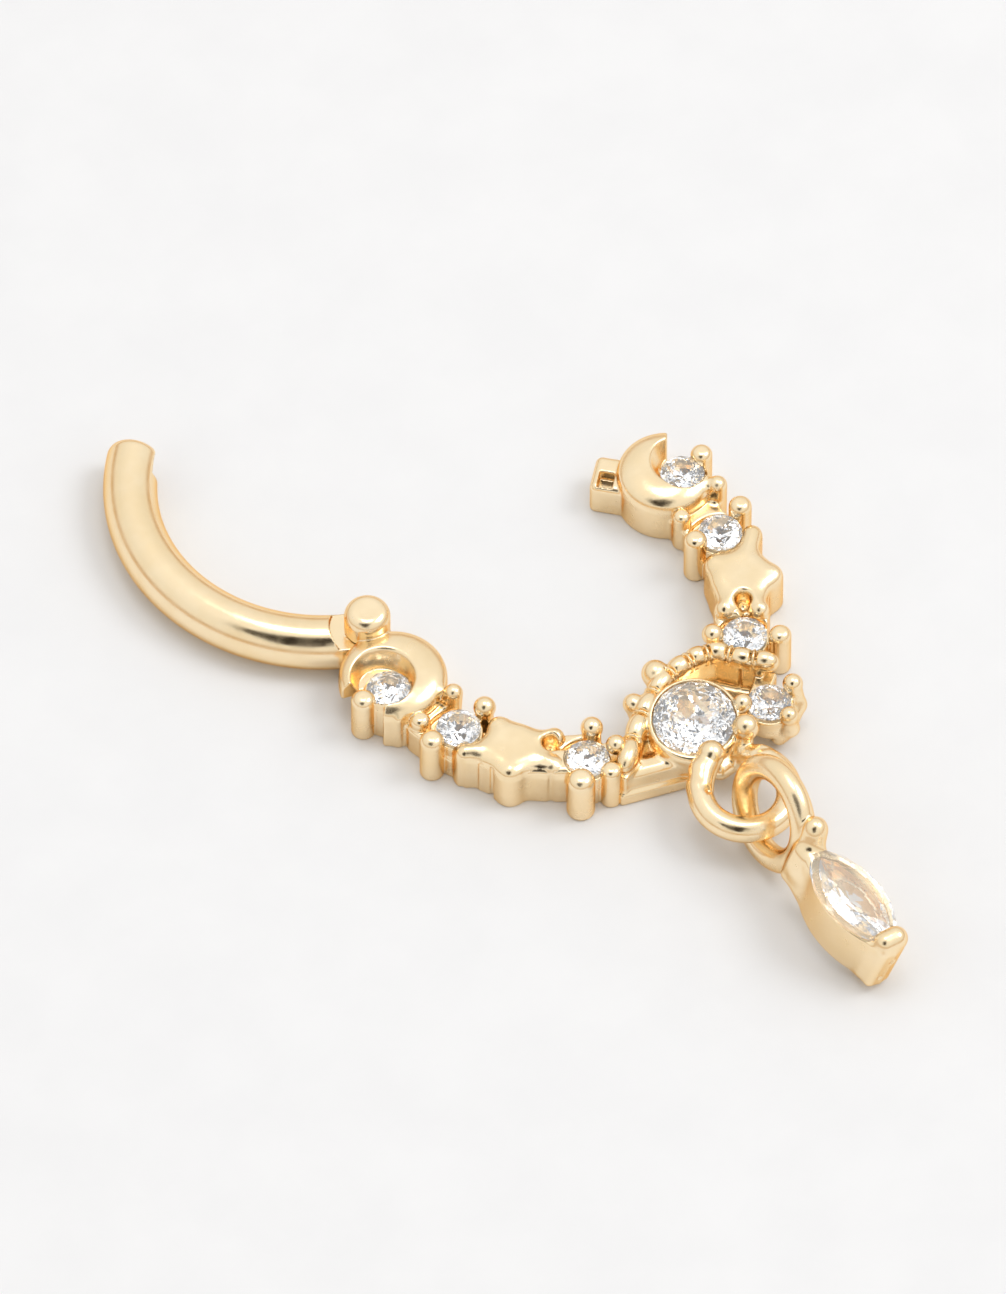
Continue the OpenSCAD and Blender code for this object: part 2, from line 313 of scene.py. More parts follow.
def puffed(plan, reach, at, rim_z, crest_z, swell):
    """Pillow over a plan: upright walls up to rim_z, then a round top that reaches crest_z."""
    at = vec(at)

    def field(p):
        d = plan(p[:, :2] - at)
        depth = np.clip(-d / swell, 0, 1)
        top = rim_z + (crest_z - rim_z) * np.sqrt(1 - (1 - depth) ** 2)
        return smooth_max(d, (p[:, 2] - top) * 0.8, 0.1)

    return upright(field, at, reach, GROUND, crest_z)


# Meshing, in millimetres: grid step, how far out fields are worked out, reach of a slope's samples,
# and the most that a vertex moves in one of its rounds
STEP = 0.045 * 1.0
FAR = 0.4
CUT_MARGIN = 0.05
SAMPLE = 0.004
SETTLE_ROUNDS, SETTLE_MOVE = 3, 0.02


class Form:
    """Shapes added to and cut from each other, in order, with soft seams."""

    def __init__(self):
        self.steps = []

    def add(self, shape, soft=SEAM):
        """Joins a shape on."""
        self.steps.append((1, shape, soft))

    def cut(self, shape, soft=SEAM):
        """Takes a shape away."""
        self.steps.append((-1, shape, soft))

    def distance(self, p):
        """Field of the whole form at some points, right only near its surface."""
        d = np.full(len(p), FAR)
        for sign, shape, soft in self.steps:
            margin = soft + CUT_MARGIN if sign < 0 else FAR
            held = np.all((p > shape.low - margin) & (p < shape.high + margin), axis=1)
            idx = np.flatnonzero(held)
            if not len(idx):
                continue
            v = shape.field(p[idx])
            if sign > 0:
                d[idx] = smooth_min(d[idx], v, soft)
            else:
                d[idx] = smooth_max(d[idx], -v, soft)
        return d

    def box(self):
        """Lowest and highest corner of all that was added."""
        added = [shape for sign, shape, soft in self.steps if sign > 0]
        low = np.min([s.low for s in added], axis=0)
        return low, np.max([s.high for s in added], axis=0)

    def slope(self, p):
        """Field and its gradient, from four samples round each point."""
        corners = vec([[1, -1, -1], [-1, -1, 1], [-1, 1, -1], [1, 1, 1]])
        values = [self.distance(p + SAMPLE * k) for k in corners]
        gradient = sum(v[:, None] * k for v, k in zip(values, corners)) / (4 * SAMPLE)
        return sum(values) / 4, gradient


# A cell's corners, and its edges as pairs of their numbers
CORNERS = np.array([(i, j, k) for i in (0, 1) for j in (0, 1) for k in (0, 1)])
EDGES = [(a, b) for a in range(8) for b in range(a + 1, 8) if abs(CORNERS[a] - CORNERS[b]).sum() == 1]


def grid_values(form):
    """Lowest corner of a grid round a form, and the form's field on it."""
    low, high = form.box()
    low, high = low - 2 * STEP, high + 2 * STEP
    n = np.ceil((high - low) / STEP).astype(int) + 1
    x_axis, y_axis, z_axis = (low[i] + STEP * np.arange(n[i]) for i in range(3))
    y, z = np.meshgrid(y_axis, z_axis, indexing="ij")
    values = np.empty(n, dtype=np.float32)
    for i, x in enumerate(x_axis):
        p = np.stack([np.full(y.size, x), y.ravel(), z.ravel()], axis=1)
        values[i] = form.distance(p).reshape(n[1], n[2])
    values[values == 0] = 1e-6
    return low, values


def crossed_cells(values, inside):
    """Cells that the surface goes through, and in each the mean place of its crossings."""
    n = values.shape
    count = sum(inside[i:n[0] - 1 + i, j:n[1] - 1 + j, k:n[2] - 1 + k].astype(np.int8)
                for i, j, k in CORNERS)
    cells = np.argwhere((count > 0) & (count < len(CORNERS)))
    held = np.stack([values[tuple((cells + corner).T)] for corner in CORNERS], axis=1)
    total = np.zeros((len(cells), 3))
    crossings = np.zeros(len(cells))
    for a, b in EDGES:
        va, vb = held[:, a], held[:, b]
        hit = (va < 0) != (vb < 0)
        t = np.where(hit, va / np.where(hit, va - vb, 1), 0)
        point = CORNERS[a] + t[:, None] * (CORNERS[b] - CORNERS[a])
        total += np.where(hit[:, None], point, 0)
        crossings += hit
    return cells, cells + total / crossings[:, None]


def crossing_quads(inside, number, axis):
    """Quads of numbered cells, one round each grid edge along an axis that the surface crosses."""
    n = inside.shape
    u, v = (axis + 1) % 3, (axis + 2) % 3
    first = [slice(0, n[i] - 1) if i == axis else slice(1, n[i] - 1) for i in range(3)]
    second = list(first)
    second[axis] = slice(1, n[axis])
    starts_inside = inside[tuple(first)]
    edges = np.argwhere(starts_inside != inside[tuple(second)])
    flip = starts_inside[tuple(edges.T)]
    shift = np.ones(3, dtype=int)
    shift[axis] = 0
    around = []
    for du, dv in ((-1, -1), (0, -1), (0, 0), (-1, 0)):
        cell = edges + shift
        cell[:, u] += du
        cell[:, v] += dv
        around.append(number[tuple(cell.T)])
    quads = np.stack(around, axis=1)
    quads[~flip] = quads[~flip][:, ::-1]
    return quads


def surface_net(form):
    """Vertices and quads of a form's surface."""
    low, values = grid_values(form)
    inside = values < 0
    cells, places = crossed_cells(values, inside)
    number = np.full(np.array(values.shape) - 1, -1, dtype=np.int64)
    number[tuple(cells.T)] = np.arange(len(cells))
    quads = [crossing_quads(inside, number, axis) for axis in range(3)]
    return low + STEP * places, np.concatenate(quads)


def settle(form, vertices):
    """Moves vertices onto the exact surface and returns them with their normals."""
    for _ in range(SETTLE_ROUNDS):
        d, g = form.slope(vertices)
        size2 = np.maximum((g * g).sum(1), 0.2)
        vertices = vertices - np.clip(d / size2, -SETTLE_MOVE, SETTLE_MOVE)[:, None] * g
    g = form.slope(vertices)[1]
    return vertices, g / np.maximum(lengths(g), 1e-9)[:, None]


def put(name, data):
    """New object in the scene with that mesh, camera or light."""
    made = bpy.data.objects.new(name, data)
    bpy.context.scene.collection.objects.link(made)
    return made


def make_object(name, vertices, faces, material, smooth=True):
    """Mesh object from points in millimetres in the ring's frame."""
    mesh = bpy.data.meshes.new(name)
    points = (np.asarray(vertices) + RING_AT) * MM
    mesh.from_pydata(points.tolist(), [], [list(map(int, f)) for f in faces])
    mesh.polygons.foreach_set("use_smooth", [smooth] * len(mesh.polygons))
    mesh.materials.append(material)
    return put(name, mesh)


def cast(name, form, material, body="front", replaces=None, move=None):
    """Meshes a form as one gold piece that rides on a body."""
    vertices, quads = surface_net(form)
    vertices, normals = settle(form, vertices)
    if move:
        vertices, normals = move(vertices, normals)
    made = make_object(name, vertices, quads, material)
    made.data.normals_split_custom_set_from_vertices(normals.tolist())
    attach(made, body)
    if replaces:
        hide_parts(replaces)


# Materials
def shader_node(tree, kind):
    """New node of that kind."""
    return tree.nodes.new("ShaderNode" + kind)


def nodes_of(material):
    """Empty node tree of a material with one shader in it."""
    material.use_nodes = True
    tree = material.node_tree
    tree.nodes.clear()
    out = shader_node(tree, "OutputMaterial")
    shader = shader_node(tree, "BsdfPrincipled")
    tree.links.new(shader.outputs[0], out.inputs[0])
    return tree, shader


NOISE_ROUGHNESS = 0.55
# Part of a noise's range that most of it lies in
NOISE_LOW, NOISE_HIGH = 0.35, 0.65


def noise(tree, size_mm, detail):
    """Noise in object space whose features are about size_mm across."""
    place = shader_node(tree, "TexCoord")
    made = shader_node(tree, "TexNoise")
    made.inputs["Scale"].default_value = 1 / (size_mm * MM)
    made.inputs["Detail"].default_value = detail
    made.inputs["Roughness"].default_value = NOISE_ROUGHNESS
    tree.links.new(place.outputs["Object"], made.inputs["Vector"])
    return made.outputs["Fac"]


def uneven(tree, size_mm, low, high, detail=3.0):
    """Value that wanders from low to high over about size_mm."""
    made = shader_node(tree, "MapRange")
    made.inputs["From Min"].default_value = NOISE_LOW
    made.inputs["From Max"].default_value = NOISE_HIGH
    made.inputs["To Min"].default_value = low
    made.inputs["To Max"].default_value = high
    tree.links.new(noise(tree, size_mm, detail), made.inputs["Value"])
    return made.outputs["Result"]


def two_tone(tree, size_mm, dark, light, detail=3.0):
    """Colour that wanders from dark to light over about size_mm."""
    made = shader_node(tree, "Mix")
    made.data_type = "RGBA"
    made.inputs["A"].default_value = (*dark, 1)
    made.inputs["B"].default_value = (*light, 1)
    tree.links.new(uneven(tree, size_mm, 0.0, 1.0, detail), made.inputs["Factor"])
    return made.outputs["Result"]


GOLD_DEEP = (0.97, 0.77, 0.48)
GOLD_PALE = (1.0, 0.82, 0.55)
GOLD_EDGE = (1.0, 0.70, 0.38)
# Sizes of the gold's grain in millimetres: tone, polish and skin
GOLD_TONE, GOLD_POLISH, GOLD_SKIN = 1.3, 0.5, 0.28


def gold_material(name, rough_low, rough_high, dimple):
    """Polished cast gold: faint tone changes, uneven polish and a soft orange-peel surface."""
    material = bpy.data.materials.new(name)
    tree, shader = nodes_of(material)
    shader.inputs["Metallic"].default_value = 1.0
    shader.inputs["Specular Tint"].default_value = (*GOLD_EDGE, 1)
    tone = two_tone(tree, GOLD_TONE, GOLD_DEEP, GOLD_PALE)
    tree.links.new(tone, shader.inputs["Base Color"])
    polish = uneven(tree, GOLD_POLISH, rough_low, rough_high, detail=4.0)
    tree.links.new(polish, shader.inputs["Roughness"])
    bump = shader_node(tree, "Bump")
    bump.inputs["Strength"].default_value = 1.0
    bump.inputs["Distance"].default_value = dimple * MM
    tree.links.new(noise(tree, GOLD_SKIN, 2.0), bump.inputs["Height"])
    tree.links.new(bump.outputs["Normal"], shader.inputs["Normal"])
    return material


GEM_COOL, GEM_CLEAR = (0.93, 0.96, 1.0), (1, 1, 1)
# Colour of the stones' painted glow: emission that makes them look brighter than their lighting does
GEM_PAINTED_GLOW = (0.92, 0.95, 1.0)
# Sizes in millimetres of the stones' tint, wear and small facets, and their most roughness
GEM_TINT, GEM_WEAR, GEM_FACET = 0.7, 0.15, 0.3
GEM_ROUGH = 0.03


def gem_material(name, ior, tilt, painted_glow):
    """Clear cut stone with a trace of cool tint, faint polish marks and a faint painted glow that brightens
    it.
    """
    material = bpy.data.materials.new(name)
    tree, shader = nodes_of(material)
    tint = two_tone(tree, GEM_TINT, GEM_COOL, GEM_CLEAR)
    tree.links.new(tint, shader.inputs["Base Color"])
    wear = uneven(tree, GEM_WEAR, 0.0, GEM_ROUGH)
    tree.links.new(wear, shader.inputs["Roughness"])
    shader.inputs["Transmission Weight"].default_value = 1.0
    shader.inputs["IOR"].default_value = ior
    # Painted glow: faint emission that brightens the stone, though it is no lamp
    shader.inputs["Emission Color"].default_value = (*GEM_PAINTED_GLOW, 1)
    shader.inputs["Emission Strength"].default_value = painted_glow
    tree.links.new(small_facets(tree, GEM_FACET, tilt), shader.inputs["Normal"])
    return material


def vector_math(tree, operation):
    """New node that works on vectors with that operation."""
    made = shader_node(tree, "VectorMath")
    made.operation = operation
    return made


def small_facets(tree, size_mm, tilt):
    """Normal that leans its own way in each small cell, like the many facets of a fine cut."""
    place = shader_node(tree, "TexCoord")
    cells = shader_node(tree, "TexVoronoi")
    cells.inputs["Scale"].default_value = 1 / (size_mm * MM)
    tree.links.new(place.outputs["Object"], cells.inputs["Vector"])
    lean = vector_math(tree, "MULTIPLY_ADD")
    lean.inputs[1].default_value = (tilt, tilt, tilt)
    lean.inputs[2].default_value = (-tilt / 2, -tilt / 2, -tilt / 2)
    tree.links.new(cells.outputs["Color"], lean.inputs[0])
    surface = shader_node(tree, "NewGeometry")
    total = vector_math(tree, "ADD")
    tree.links.new(lean.outputs[0], total.inputs[0])
    tree.links.new(surface.outputs["Normal"], total.inputs[1])
    unit = vector_math(tree, "NORMALIZE")
    tree.links.new(total.outputs[0], unit.inputs[0])
    return unit.outputs[0]


FLOOR_DARK, FLOOR_PALE = (0.825, 0.825, 0.834), (0.845, 0.845, 0.853)
FLOOR_GRAIN = 3.0


def floor_material():
    """White matt board with a barely visible paper grain."""
    material = bpy.data.materials.new("white_board")
    tree, shader = nodes_of(material)
    grain = two_tone(tree, FLOOR_GRAIN, FLOOR_DARK, FLOOR_PALE, detail=4.0)
    tree.links.new(grain, shader.inputs["Base Color"])
    shader.inputs["Roughness"].default_value = 0.9
    shader.inputs["Specular IOR Level"].default_value = 0.1
    return material


# Gold: least and most roughness, depth of its skin. Stones: index of refraction, tilt and strength of a
# painted glow that brightens them.
CAST_GOLD = gold_material("cast_gold", 0.16, 0.28, 0.006)
BAR_GOLD = gold_material("bar_gold", 0.14, 0.24, 0.002)
GEM = gem_material("round_stone", 1.85, 0.4, 0.05)
LONG_GEM = gem_material("long_stone", 1.7, 0.12, 0.1)

# Stones: how many facets go round, half a facet in degrees, and the inner end of the lower facets.
# Round stones: table as a share of the outline, crown, girdle and depth as shares of the width.
FACETS = 8
HALF_FACET = 180 / FACETS
LOWER_R = 0.24
ROUND_TABLE, ROUND_HEIGHTS = 0.57, (0.155, 0.03, 0.4)
ROUND_FIT = 0.995


def brilliant(outline, table, crown, girdle, depth):
    """Points and faces of a brilliant cut over an outline function of the angle in degrees."""
    half_step = math.cos(math.radians(HALF_FACET))
    star_r = (table * half_step + 1) / 2
    star_z = crown * (1 - star_r * half_step) / (1 - table)
    lower_z = -girdle - depth * (1 - LOWER_R * half_step)
    around = 2 * FACETS
    points = []

    def ring(count, start, scale, z):
        """Adds a ring of points and returns the first one's number."""
        first = len(points)
        for i in range(count):
            x, y = outline(start + 360 / count * i)
            points.append((x * scale, y * scale, z))
        return first

    table_ring = ring(FACETS, 0, table, crown)
    star_ring = ring(FACETS, HALF_FACET, star_r, star_z)
    upper = ring(around, 0, 1, 0)
    under = ring(around, 0, 1, -girdle)
    lower = ring(FACETS, HALF_FACET, LOWER_R, lower_z)
    culet = len(points)
    points.append((0, 0, -girdle - depth))
    faces = [tuple(table_ring + i for i in range(FACETS))]
    for k in range(FACETS):
        before, after = (k - 1) % FACETS, (k + 1) % FACETS
        t, s = table_ring + k, star_ring + k
        s_before, t_after = star_ring + before, table_ring + after
        g = [(2 * k + i) % around for i in range(3)]
        faces += [(t, s, t_after), (t, s_before, upper + g[0]), (t, upper + g[0], s)]
        faces += [(s, upper + g[0], upper + g[1]), (s, upper + g[1], upper + g[2])]
        low, low_before = lower + k, lower + before
        faces += [(under + g[0], low, under + g[1]), (under + g[1], low, under + g[2])]
        faces += [(under + g[0], culet, low), (under + g[0], low_before, culet)]
    for i in range(around):
        j = (i + 1) % around
        faces.append((upper + i, under + i, under + j, upper + j))
    return np.array(points), faces


def stone(node, outline, sizes, turn, at, material):
    """A cut stone in place of a CAD stone: sizes are table, crown, girdle and depth."""
    points, faces = brilliant(outline, *sizes)
    points = points @ turn.T + np.array(at)
    made = make_object(node + "_cut", points, faces, material, smooth=False)
    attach(made, "front")
    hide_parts(node)


def round_stone(node, seat, turn_deg, lean=0, lift=0):
    """Round brilliant in its seat, leaning towards the viewer's side by lean degrees."""
    at, width, girdle = seat
    across = turned("z", VIEW_AZIMUTH)
    turn = across @ turned("x", lean) @ across.T @ turned("z", turn_deg)
    sizes = (ROUND_TABLE, *(width * share for share in ROUND_HEIGHTS))
    r = width / 2 * ROUND_FIT
    stone(node, lambda a: polar(r, a), sizes, turn, (*at, girdle + lift), GEM)


# Settings, in millimetres: a prong's foot, a cup's depth under its foot and its taper, a seat's
# clearance, slope and room over it, and its light hole as a share of the stone's width and its depth
PRONG_FOOT = 0.3
CUP_SINK, CUP_TAPER = 0.2, 0.05
SEAT_CLEAR, SEAT_SLOPE, SEAT_ROOM = 0.02, 0.62, 1.2
LIGHT_HOLE, HOLE_END = 0.16, -0.6


def prong(form, foot, tip, r, h, stalk=0.8, soft=0.1):
    """Leaning stalk with a ball at its tip: r is the ball's radius and h the height of its top."""
    form.add(rod((*foot, PRONG_FOOT), (*tip, h - r), r * stalk), soft)
    form.add(ball((*tip, h - r), r))


def cup(form, seat, top, foot=0.0, rim=0.1):
    """Wall round a stone, slightly narrower at its foot."""
    at, width, _ = seat
    r = width / 2 + rim
    form.add(drum(at, r, foot - CUP_SINK, top, 0.05, r - CUP_TAPER), soft=0.08)


def bore(form, seat):
    """Takes out the stone's conical seat and the light hole under it."""
    at, width, girdle = seat
    r = width / 2 + SEAT_CLEAR
    hole = width * LIGHT_HOLE
    form.cut(drum(at, r, girdle - SEAT_CLEAR, girdle + SEAT_ROOM, SHARP))
    form.cut(drum(at, r, girdle - SEAT_SLOPE * r, girdle, SHARP, hole), soft=0.03)
    form.cut(drum(at, hole, HOLE_END, girdle, SHARP), soft=0.03)


# Cast half, in millimetres. Stars: heights of rim and crest, width of the swell, reach, and arms.
STAR_RIM, STAR_CREST, STAR_SWELL = 1.3, 1.62, 0.42
STAR_REACH = 2.0
ARM_R, ARM_SEAM = 0.31, 0.4
# Moons: crest, how far it falls to the rim, swell, and the hole's heights and taper
MOON_CREST, MOON_DOME, MOON_SWELL = 1.72, 0.45, 0.8
HOLE_FOOT, HOLE_TOP = 1.12, 2.3
HOLE_WIDER, HOLE_NARROWER = 0.3, 0.32
# Cups of the small stones, and what is left of one where a wedge is cut away beside it
CUP_TOP, CUP_RIM = 1.24, 0.06
CUP_CLEAR = 0.09
WEDGE_REACH = 2
# Height over all the metal round the small stones
HIGH_CUT = 3.0
POST_ROUND = 0.75
GROOVE_R, GROOVE_TOP = 0.07, 1.3
KEYHOLE_FOOT, KEYHOLE_TOP, KEYHOLE_R, KEYHOLE_TOP_R = 1.12, 2.5, 0.2, 0.3
BAND_EDGE, RIDGE_EDGE = 0.12, 0.2
# How far the metal is lowered round the upper and lower stones: reach beyond the stone, and floor
UPPER_RECESS, LOWER_RECESS = (0.3, 0.8), (0.2, 0.95)


def star(form, at, arms, core):
    """Puffed star: round arms of their own direction and reach on a round core."""
    def plan(xy):
        d = lengths(xy) - core
        for turn, reach in arms:
            way = polar(1, turn)
            t = np.clip(xy @ way, 0, reach - ARM_R)
            arm = lengths(xy - t[:, None] * way) - ARM_R
            d = smooth_min(d, arm, ARM_SEAM)
        return d

    form.add(puffed(plan, STAR_REACH, at, STAR_RIM, STAR_CREST, STAR_SWELL), soft=0.06)


def moon(form, at, r, hole, hole_r):
    """Domed disc with a conical hole round its stone, which leaves a crescent."""
    def plan(xy):
        return lengths(xy) - r

    form.add(puffed(plan, r, at, MOON_CREST - MOON_DOME, MOON_CREST, MOON_SWELL))
    form.cut(drum(hole, hole_r + HOLE_WIDER, HOLE_FOOT, HOLE_TOP, 0.02, hole_r - HOLE_NARROWER), soft=0.07)


def wedge(form, at, seat, from_a, to_a, z1):
    """Cuts away metal below z1 between two angles round at, outside the stone's cup."""
    at = np.array(at)
    stone_at, width, _ = seat
    edge_a, edge_b = polar(1, from_a + 90), polar(1, to_a - 90)

    def field(p):
        xy = p[:, :2] - at
        inside = -np.minimum(xy @ edge_a, xy @ edge_b)
        cup_wall = width / 2 + CUP_CLEAR - lengths(p[:, :2] - stone_at)
        return np.maximum(smooth_max(inside, cup_wall, 0.06), p[:, 2] - z1)

    form.cut(upright(field, at, WEDGE_REACH, GROUND, z1), soft=0.07)


def knob(form, foot, tip, top, r, soft):
    """Lump where the moon runs into the band."""
    form.add(rod((*foot, GROUND), (*tip, top), r), soft)


def recess(form, seat, reach, floor):
    """Lowers the metal round a stone."""
    at, width, _ = seat
    form.cut(drum(at, width / 2 + reach, floor, HIGH_CUT, 0.04), soft=0.1)


def posts(form, places):
    """Columns with softly rounded tops."""
    for x, y, r, top in places:
        form.add(drum((x, y), r, GROUND, top, r * POST_ROUND))


def grooves(form, places):
    """Thin upright grooves between the columns."""
    for x, y in places:
        form.cut(rod((x, y, 2 * GROUND), (x, y, GROOVE_TOP), GROOVE_R), soft=0.09)


def keyhole(form, x, y):
    """Pocket between two arms of a star, beside the next stone."""
    form.cut(rod((x, y, KEYHOLE_FOOT), (x, y, KEYHOLE_TOP), KEYHOLE_R, KEYHOLE_TOP_R), soft=0.14)


def cups_and_bores(form, seats):
    """Cups first, so that no bore is filled by the next cup."""
    for seat in seats:
        cup(form, seat, CUP_TOP, rim=CUP_RIM)
    for seat in seats:
        bore(form, seat)


def seats_on(side):
    """Seats of the three stones on a side of the ring, from the moon down."""
    return [SEATS[name + side] for name in ("moon_stone", "upper_stone", "lower_stone")]


def half(form, seats, plan):
    """What both halves have: band, crescent, lowered metal round the stones, and star."""
    moon_seat, upper, lower = seats
    for place in plan["bands"]:
        form.add(band(*place, BAND_EDGE), soft=0.06)
    moon(form, *plan["moon"])
    for at, from_a, to_a, top in plan["wedges"]:
        wedge(form, at, moon_seat, from_a, to_a, top)
    knob(form, *plan["knob"])
    recess(form, upper, *UPPER_RECESS)
    recess(form, lower, *LOWER_RECESS)
    star(form, *plan["star"])
    form.add(band(*plan["ridge"], RIDGE_EDGE), soft=0.15)
    keyhole(form, *plan["keyhole"])


# Plans of the two halves. Bands and ridge: inner and outer radius, top and the two angles.
# Moon: middle, radius, and its hole's middle and radius. Wedges: middle, the two angles and the top.
# Knob: foot, tip, top, radius and seam. Star: middle, each arm's direction and reach, core.
RIGHT_HALF = {
    "bands": [(4.66, 6.2, 1.22, -58, -22), (4.66, 6.15, 0.98, -24, 12)],
    "moon": ((5.585, 1.335), 1.45, (6.1, 1.2), 0.95),
    "wedges": [((5.6, 1.3), -62, 47, HIGH_CUT)],
    "knob": ((6.3, -0.1), (6.35, -0.06), 1.4, 0.29, 0.22),
    "star": ((4.62, -2.95), [(35.5, 1.88), (-39, 1.22), (-109, 1.6), (204, 1.58), (106, 1.2)], 0.96),
    "ridge": (4.66, 5.4, 1.4, -48, -22),
    "keyhole": (4.02, -3.66),
}
LEFT_HALF = {
    "bands": [(4.66, 6.2, 1.22, 200, 238), (4.66, 6.18, 1.05, 172, 202)],
    "moon": ((-5.33, 1.35), 1.6, (-5.74, 1.38), 1.0),
    "wedges": [((-5.38, 1.3), 155, 216, HIGH_CUT), ((-5.38, 1.3), 120, 160, 0.9)],
    "knob": ((-4.62, -0.36), (-4.5, -0.36), 1.42, 0.28, 0.25),
    "star": ((-4.58, -2.98), [(143, 1.7), (222, 1.1), (291, 1.6), (337, 1.62), (72, 1.24)], 0.94),
    "ridge": (5.3, 6.22, 1.46, 206, 232),
    "keyhole": (-3.66, -3.62),
}
# Columns: x, y, radius and top
RIGHT_POSTS = [(6.7, 1.0, 0.32, 1.78), (6.22, -1.18, 0.34, 1.82), (4.4, -1.2, 0.34, 1.82),
               (4.84, -0.14, 0.27, 1.48), (3.9, -5.38, 0.33, 1.76)]
LEFT_LOW_POSTS = [(-6.12, 0.24, 0.3, 1.46), (-5.8, -0.33, 0.3, 1.44), (-5.62, -2.05, 0.34, 1.4),
                  (-5.14, -3.38, 0.28, 1.5)]
LEFT_POSTS = [(-6.65, 1.2, 0.36, 1.72), (-6.19, -1.26, 0.36, 1.76), (-3.94, -5.24, 0.42, 1.72)]
LEFT_END_POST = (-3.02, -5.56, 0.32, 1.6)
LEFT_GROOVES = [(-6.22, -0.12), (-6.2, -1.62), (-5.98, -2.32), (-5.5, -3.1), (-5.02, -3.72), (-4.42, -4.46)]
# Prongs: foot, tip, the ball's radius and the height of its top
RIGHT_PRONG = ((2.85, -4.35), (2.5, -3.98), 0.32, 1.78)
LEFT_PRONGS = [((-4.4, -1.6), (-4.2, -1.38), 0.33, 1.78), ((-2.7, -4.45), (-2.4, -4.05), 0.33, 1.78)]
# Ball on a short foot, where the left half meets the rope
END_BALL, END_BALL_R = (-2.3, -4.98, 1.45), 0.3
END_FOOT, END_FOOT_R, END_FOOT_TOP = (-2.3, -4.85), 0.45, 0.95


def cast_right():
    """Right half: moon, star, three cups and the catch stub."""
    form = Form()
    seats = seats_on("_right")
    half(form, seats, RIGHT_HALF)
    stub(form)
    cups_and_bores(form, seats)
    posts(form, RIGHT_POSTS)
    prong(form, *RIGHT_PRONG)
    form.cut(BELOW, soft=0.06)
    return form


# Catch stub: direction, middle radius, width, length and top, and the recess in it
STUB_A, STUB_AT = 35.4, 5.1
STUB_WIDE, STUB_LONG, STUB_TOP = 1.26, 1.5, 1.16
POCKET_AT, POCKET_SIDE = 4.86, 0.44
POCKET_SIZE, POCKET_FLOOR = (0.54, 0.46), 0.78


def stub(form):
    """Catch stub beside the right moon, with a small square recess in its top."""
    out, along = polar(1, STUB_A), polar(1, STUB_A + 90)
    middle = out * STUB_AT - along * STUB_LONG / 2
    form.add(block(middle, STUB_A, (STUB_WIDE, STUB_LONG), GROUND, STUB_TOP, 0.2), soft=0.06)
    pocket = out * POCKET_AT - along * POCKET_SIDE
    form.cut(block(pocket, STUB_A, POCKET_SIZE, POCKET_FLOOR, 2.0, 0.03))


# Hinge: ears, their root, and the room between them
EAR_R, EAR_TOP, EAR_EDGE = 0.68, 2.22, 0.34
LOWER_EAR_TOP, UPPER_EAR_FOOT = 0.29, 0.6
ROOT_A, ROOT_REACH, ROOT_SIZE, ROOT_TOP = -110, 0.55, (1.1, 0.8), 1.6
ROOM_R, ROOM_TOP, BAR_ROOM_TOP = 0.86, 1.3, 1.31
# The open bar's room ends a little beyond the end of the joint's range
OPEN_STOP = OPEN_A + 2.5
BAR_CLEAR = 0.06
ROOM_LONG, ROOM_FAR, ROOM_CEILING = 2, 2.07, 2.0


def hinge(form):
    """Round-topped upper ear over a thin lower ear, on a root that runs down to the left moon."""
    root = HINGE + polar(ROOT_REACH, ROOT_A)
    form.add(drum(HINGE, EAR_R, GROUND, LOWER_EAR_TOP, 0.04), soft=0.03)
    form.add(drum(HINGE, EAR_R, UPPER_EAR_FOOT, EAR_TOP, EAR_EDGE))
    form.add(block(root, ROOT_A, ROOT_SIZE, GROUND, ROOT_TOP, 0.12), soft=0.12)


def hinge_room(form):
    """Room for the bar's tongue, and for the bar itself where it stands open."""
    form.cut(drum(HINGE, ROOM_R, LOWER_EAR_TOP, ROOM_TOP, 0.01), soft=0.01)
    turn = HINGE_A - 90 + OPEN_STOP
    way = polar(1, turn)
    left = np.array([-way[1], way[0]])
    side = BAR_R + BAR_CLEAR
    inner = HINGE + left * side / 2
    near, far = inner + way * ROOM_LONG / 2, inner + way * ROOM_FAR
    form.cut(block(near, turn, (ROOM_LONG, side), LOWER_EAR_TOP, BAR_ROOM_TOP, 0.02), soft=0.02)
    form.cut(block(far, turn, (ROOM_LONG, side), 2 * GROUND, ROOM_CEILING, 0.02), soft=0.02)


def cast_left():
    """Left half: moon, star, three cups and the hinge."""
    form = Form()
    seats = seats_on("_left")
    half(form, seats, LEFT_HALF)
    hinge(form)
    cups_and_bores(form, seats)
    posts(form, LEFT_LOW_POSTS)
    grooves(form, LEFT_GROOVES)
    posts(form, LEFT_POSTS)
    for place in LEFT_PRONGS:
        prong(form, *place)
    posts(form, [LEFT_END_POST])
    form.add(ball(END_BALL, END_BALL_R), soft=0.06)
    form.add(drum(END_FOOT, END_FOOT_R, GROUND, END_FOOT_TOP, 0.1), soft=0.1)
    hinge_room(form)
    form.cut(BELOW, soft=0.06)
    return form


# Middle of the cast half. Rope: its beads from left to right, radius and height of its middle.
ROPE = [(-2.22, -5.43), (-1.36, -4.89), (-0.65, -4.51), (0.25, -4.19), (1.03, -4.12),
        (1.66, -4.21), (2.2, -4.46), (2.61, -5.14), (3.01, -5.66)]
ROPE_R, ROPE_Z = 0.32, 1.33
CORE_R, CORE_Z = 0.28, 1.3
ROPE_WALL, ROPE_WALL_TOP = 0.6, 1.26
BEAD_OVERLAP = 0.12
# Rings between the beads: half axes of the ring and of the grooves beside it, and where those are
RING_HALF, GROOVE_HALF = (0.13, 0.31, 0.34), (0.03, 0.4, 0.2)
RING_OFF, GROOVE_Z = 0.08, 1.68


